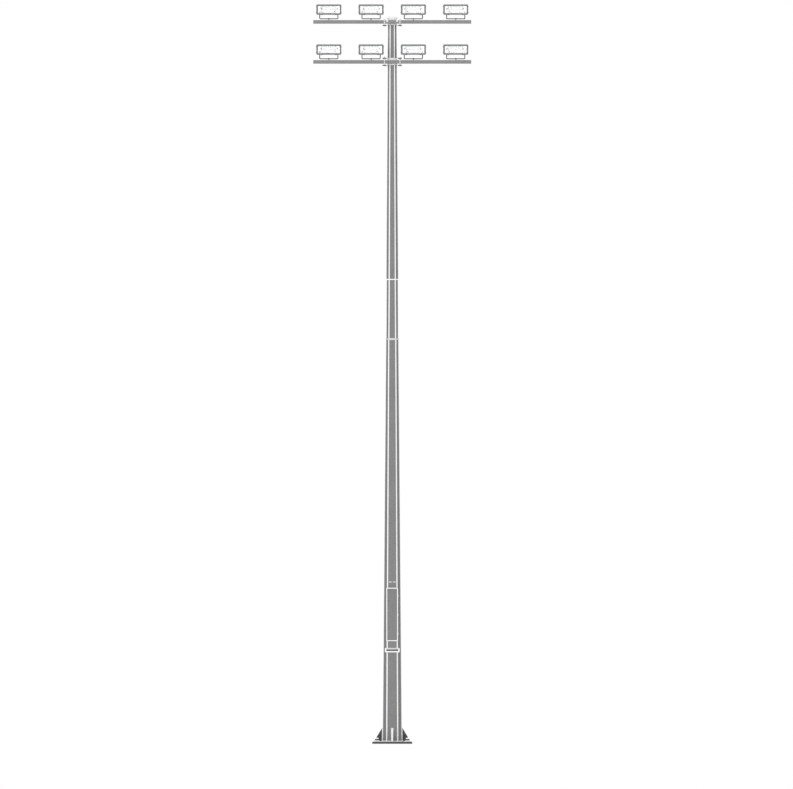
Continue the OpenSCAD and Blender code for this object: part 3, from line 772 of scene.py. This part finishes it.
# U-bolt round the back of the mast, through the upper arm, with nuts on square plates in front
U_X, U_Z = 0.1105, 15.993      # half the distance between its legs, and its height
U_SIDE = 0.042                 # half the length of its side across the mast's back
U_END = -0.222                 # front end of its legs
U_PLATE = 0.021                # half the width of the square plates
route = [(-U_X, U_END), (-U_X, U_SIDE), (-U_SIDE, U_X), (U_SIDE, U_X), (U_X, U_SIDE), (U_X, U_END)]
bow = bpy.data.curves.new("upper_arm_u_bolt", "CURVE")
bow.dimensions = "3D"
bow.bevel_depth = 0.010
bow.bevel_resolution = 3
bow.use_fill_caps = True
rounded = [Vector((*route[0], 0))]
for before, at, after in zip(route, route[1:], route[2:]):
    before, at, after = (Vector((*point, 0)) for point in (before, at, after))
    start, end = (at + (point - at).normalized() * 0.020 for point in (before, after))
    for step in range(6):
        t = step / 5
        rounded.append((1 - t) ** 2 * start + 2 * t * (1 - t) * at + t ** 2 * end)
rounded.append(Vector((*route[-1], 0)))
spline = bow.splines.new("POLY")
spline.points.add(len(rounded) - 1)
for point, at in zip(spline.points, rounded):
    point.co = (at.x, at.y, U_Z, 1)
u_bolt = bpy.data.objects.new("upper_arm_u_bolt", bow)
bpy.context.scene.collection.objects.link(u_bolt)
only(u_bolt)
bpy.ops.object.convert(target="MESH")
u_bolt = smooth(work(bpy.context.object, "verts", every, CLOSE_SEAMS), 40)
fit(paint(u_bolt, BOLT_ZINC), "root", "bright_zinc")
clamp = []
for x in (-U_X, U_X):
    plate = block("plate", (x - U_PLATE, -0.2032, U_Z - U_PLATE),
                  (x + U_PLATE, -0.1978, U_Z + U_PLATE))
    nut = hex_bolt("nut", (0, 0, 0), 0.030, 0.012)
    clamp += [soften(plate, 0.0015, 2), laid(nut, X, 90, (x, -0.2030, U_Z))]
fit(paint(join("upper_arm_u_bolt_nuts", clamp), PALE_ZINC_AND_PAINTED_HIGHLIGHT), "root", "bright_zinc")

swivels = soften(cad_copy("swivel_bolt_sets", "swivel_bolts"), 0.0012, 2)
fit(paint(swivels, PALE_ZINC_AND_PAINTED_HIGHLIGHT), "root", "bright_zinc", "swivel_bolts")


# --- Floodlights: each shape is made once round the tilt axis, then copied to the eight places --

# Depths along Y
FRONT = -0.152        # front edge of the frame
FRAME_BACK = -0.120   # back of the frame
HOUSING_FRONT = -0.1235
SHOULDER = 0.0506     # where the housing starts to narrow
REAR = 0.092          # rear wall of the housing
# Half sizes along X and Z
FRAME = (0.2765, 0.115)
RIM = (0.25, 0.09)             # between the frame's outline and its pocket
POCKET = (0.2485, 0.087)       # pocket for the pane
OPENING = (0.2405, 0.079)      # opening behind the pane
HOUSING = (0.182, 0.095)
SHOULDER_Z = 0.083             # the housing's half height after the shoulder
REAR_Z = 0.059                 # and at its rear wall


def flat(y, half_x=1.0, half_z=1.0):
    """Faces flat in the plane y whose middle lies within the half sizes."""
    def test(face):
        at = middle(face)
        return (abs(face.normal.y) > 0.999 and abs(at.y - y) < 0.0001
                and abs(at.x) < half_x and abs(at.z) < half_z)
    return test


def loop(y, half_x, half_z, outside):
    """Edges in the plane y that lie beyond a rectangle, or within it."""
    return lambda edge: all(
        abs(v.co.y - y) < 0.0001 and (abs(v.co.x) > half_x or abs(v.co.z) > half_z) == outside
        for v in edge.verts)


def corner(half_x, half_z):
    """Edges along Y at the corners of a rectangle."""
    def test(edge):
        at = middle(edge)
        return (along(Y)(edge) and abs(abs(at.x) - half_x) < 0.0005
                and abs(abs(at.z) - half_z) < 0.0005)
    return test


def central(face):
    """True on the faces that look forward or back in the middle of the frame."""
    at = middle(face)
    return abs(face.normal.y) > 0.9 and abs(at.x) < 0.01 and abs(at.z) < 0.01


# Front frame: round corners and edges first, then a stepped pocket for the pane, open behind
front = block("front", (-FRAME[0], FRONT, -FRAME[1]), (FRAME[0], FRAME_BACK, FRAME[1]))
work(front, "edges", corner(*FRAME), bevel(0.020, 8))
work(front, "edges", loop(FRONT, *RIM, True), bevel(0.0045, 3))
work(front, "edges", loop(FRAME_BACK, *RIM, True), bevel(0.0020, 2))
for y, (half_x, half_z) in ((FRONT, POCKET), (FRAME_BACK, OPENING)):
    for spot, line in (((half_x, 0, 0), (1, 0, 0)), ((0, 0, half_z), UP)):
        for sign in (-1, 1):
            work(front, "faces", flat(y), cut(Vector(spot) * sign, line))
narrow = resize(0.175 / OPENING[0], 1, 1)
work(front, "faces", flat(FRONT, 0.01, 0.01),
     extrude(0.0116), inset(0.006), extrude(0.0164), inset(0.002), narrow)
work(front, "faces", flat(FRAME_BACK, 0.01, 0.01), narrow)
work(front, "faces", central, BRIDGE)
work(front, "edges", corner(*POCKET), bevel(0.010, 5))
work(front, "edges", corner(POCKET[0] - 0.006, POCKET[1] - 0.006), bevel(0.008, 5))
work(front, "edges", lambda e: loop(FRONT, *RIM, False)(e) and len(e.link_faces) == 2
     and e.calc_face_angle(0.0) > 1.0, bevel(0.0016, 2))
paint(smooth(work(front, "faces", every, DROP_SLIVERS)), FRAME_COAT)

# Housing: a shell, open in front and narrower behind, with nine fins and the tilt axis' bosses
body = block("body", (-HOUSING[0], HOUSING_FRONT, -HOUSING[1]),
             (HOUSING[0], SHOULDER, HOUSING[1]))
work(body, "faces", facing(Y, 1), resize(1, 1, SHOULDER_Z / HOUSING[1]),
     extrude(REAR - SHOULDER), resize(0.985, 1, REAR_Z / SHOULDER_Z))
work(body, "faces", facing(Y, -1), DELETE_FACES)
modify(body, "SOLIDIFY", thickness=0.004, offset=-1.0, use_even_offset=True)
soften(body, 0.0060, 3, 12)
fins = []
for k in range(9):
    x = -0.162 + 0.0405 * k
    fin = block("fin", (x - 0.002, 0.046, -0.055), (x + 0.002, 0.118, 0.055))
    work(fin, "edges", lambda e: along(X)(e) and middle(e).y > 0.11, bevel(0.014, 3))
    fins.append(soften(fin, 0.0008, 1))
bosses = []
for sx in (-1, 1):
    boss = rod("boss", (sx * 0.1868, 0, 0), 0.044, 0.0098, X, 40)
    bosses.append(work(boss, "edges", lambda e: abs(middle(e).x) > 0.191, bevel(0.002, 2)))
body = paint(smooth(join("body", [body] + fins + bosses), 35), BODY_COAT)

# Latches at the frame's ends, and hinge lugs under it
latches = []
for left, right in ((-0.2825, -0.2755), (0.2755, 0.2825)):
    for z in (-0.062, 0.062):
        latch = block("latch", (left, -0.146, z - 0.013), (right, -0.116, z + 0.013))
        work(latch, "edges", along(X), bevel(0.004, 2))
        latches.append(soften(latch, 0.0012, 2))
for x in (-0.16, 0.16):
    lug = block("lug", (x - 0.022, -0.147, -0.1225), (x + 0.022, -0.125, -0.1135))
    work(lug, "edges", lambda e: along(X)(e) and middle(e).z < -0.12, bevel(0.004, 3))
    latches.append(soften(lug, 0.001, 1))
latches = paint(join("latches", latches), FRAME_COAT)

tilt_bolts = []
for sx in (-1, 1):
    bolt = hex_bolt("tilt", (0, 0, 0), 0.022, 0.0058, 0.032, 0.0030, 0.0138, 0.017)
    tilt_bolts.append(laid(bolt, Y, 90 * sx, (0.1984 * sx, 0, 0)))
tilt_bolts = paint(join("tilt_bolts", tilt_bolts), BOLT_ZINC)

seal = frame_ring("seal", (-0.2480, -0.1476, -0.0865), (0.2480, -0.1458, 0.0865),
                  0.0055, 0.010, 0.005)
paint(soften(seal, 0.0005, 1), RUBBER)

# Reflector: a thin pan that fills the opening and narrows to a flat back
pan = block("pan", (-OPENING[0], -0.1385, -OPENING[1]), (OPENING[0], -0.1262, OPENING[1]))
work(pan, "faces", facing(Y, 1), resize(0.174 / OPENING[0], 1, 0.0775 / OPENING[1]),
     extrude(0.062), resize(0.80, 1, 0.62))
work(pan, "faces", facing(Y, -1), DELETE_FACES)
work(pan, "faces", every, FLIP)
modify(pan, "SOLIDIFY", thickness=0.001, offset=-1.0)
paint(pan, REFLECTOR)

tube = rod("tube", (0.012, -0.112, 0.0115), 0.020, 0.300, X, 24)
work(tube, "edges", lambda e: abs(middle(e).x - 0.012) > 0.149, bevel(0.007, 3))
paint(smooth(tube, 40), QUARTZ)

# Clips: place, slant in degrees and length
holders = []
for x, z, tilt, wide in (
        (-0.166, 0.0165, 50, 0.036), (0.1935, 0.0175, 50, 0.042),
        (-0.199, -0.055, -20, 0.034), (0.1327, -0.037, -20, 0.028)):
    cup = block("cup", (x - wide / 2, -0.1365, z - 0.009), (x + wide / 2, -0.1255, z + 0.009))
    holders.append(turned(soften(cup, 0.003, 2), Y, tilt, (x, 0, z)))
holders = paint(join("holders", holders), CERAMIC)

# Model, words of its name, slot, and whether it takes the place of the housing's solid
HEAD_PIECES = (
    (front, "front_frame", "lamp_housing", True),
    (body, "cooling_body", "lamp_housing", True),
    (latches, "latches", "lamp_housing", False),
    (tilt_bolts, "tilt_bolt_heads", "bright_zinc", True),
    (seal, "glass_seal", "lamp_housing", False),
    (pan, "reflector", "lamp_housing", False),
    (tube, "lamp_tube", "lamp_glass", False),
    (holders, "lamp_holders", "lamp_housing", False))
for lamp in LAMPS:
    low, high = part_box(lamp + "_glass")
    at = Vector(((low.x + high.x) / 2, ARM_Y, (low.z + high.z) / 2))
    for model, words, slot, solid in HEAD_PIECES:
        piece = copy_at(model, lamp + "_" + words, at)
        if model is holders and at.x > 0:
            mirrored(piece, at.x)
        fit(piece, lamp + "_head", slot, *([lamp + "_housing"] if solid else []))
    paint(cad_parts[lamp + "_glass"], GLASS)
    # Bracket, its hole a little wider round the swivel bolt
    bracket = cad_copy(lamp + "_channel", lamp + "_bracket")
    work(bracket, "faces", lambda f: (
        abs(f.normal.z) < 0.1 and all((v.co.xy - at.xy).length < 0.0085 for v in f.verts)),
        resize(1.04, 1.04, 1, (at.x, at.y, 0)))
    soften(bracket, 0.0015, 2)
    fit(paint(bracket, BRACKET_ZINC), lamp + "_swivel", "dark_steel", lamp + "_bracket")
for model, *_ in HEAD_PIECES:
    bpy.data.objects.remove(model)


# --- Floor, light and camera ------------------------------------------------------------------

def seen(tree):
    """One for what the camera, a shiny surface or a clear one sees, zero for light on surfaces."""
    path = add(tree, "LightPath")
    either = add(tree, "Math", {0: path.outputs["Is Camera Ray"], 1: path.outputs["Is Glossy Ray"]},
                 operation="MAXIMUM")
    either = add(tree, "Math", {0: either.outputs[0], 1: path.outputs["Is Transmission Ray"]},
                 operation="MAXIMUM")
    return either.outputs[0]


scene = bpy.context.scene
scene.view_settings.view_transform = "Standard"

# White room: its light is a soft fill, and what is seen of it is pure white
world = bpy.data.worlds.new("white studio")
scene.world = world
world.use_nodes = True
sky = world.node_tree
sky.nodes.clear()
fill = add(sky, "Background", {"Color": (1, 1, 1, 1), "Strength": 0.76})
white = add(sky, "Background", {"Color": (1, 1, 1, 1), "Strength": 1.0})
sky_mix = add(sky, "MixShader", {"Fac": seen(sky), 1: fill.outputs[0], 2: white.outputs[0]})
add(sky, "OutputWorld", {"Surface": sky_mix.outputs[0]})

bpy.ops.object.select_all(action="DESELECT")
bpy.ops.mesh.primitive_plane_add(size=90, location=(0, 0, -0.0005))
floor = bpy.context.object
floor.name = "studio_floor"
# A little glow, which lights nothing, lifts the floor to the white of the room
pale_floor, floor_tree, floor_shader = material("pale matt studio floor", {
    "Base Color": linear("#F6F6F6"), "Roughness": 0.9, "Emission Color": (1, 1, 1, 1)})
glow = add(floor_tree, "Math", {0: seen(floor_tree), 1: 0.14}, operation="MULTIPLY")
floor_tree.links.new(glow.outputs[0], floor_shader.inputs["Emission Strength"])
floor.data.materials.append(pale_floor)

# Soft key light from the front, a little high and from the left
key = bpy.data.lights.new("key_light", "SUN")
key.energy, key.angle = 1.12, radians(50)
light = bpy.data.objects.new("key_light", key)
light.rotation_euler = (radians(68), 0, radians(-18))
scene.collection.objects.link(light)

# Square front view that holds the whole mast
camera = bpy.data.objects.new("camera", bpy.data.cameras.new("camera"))
camera.data.type = "ORTHO"
camera.data.ortho_scale = 17.549
camera.data.clip_end = 200
camera.location = (0.094, -40, 7.730)
camera.rotation_euler = (pi / 2, 0, 0)
scene.collection.objects.link(camera)
scene.camera = camera

bpy.ops.object.select_all(action="DESELECT")
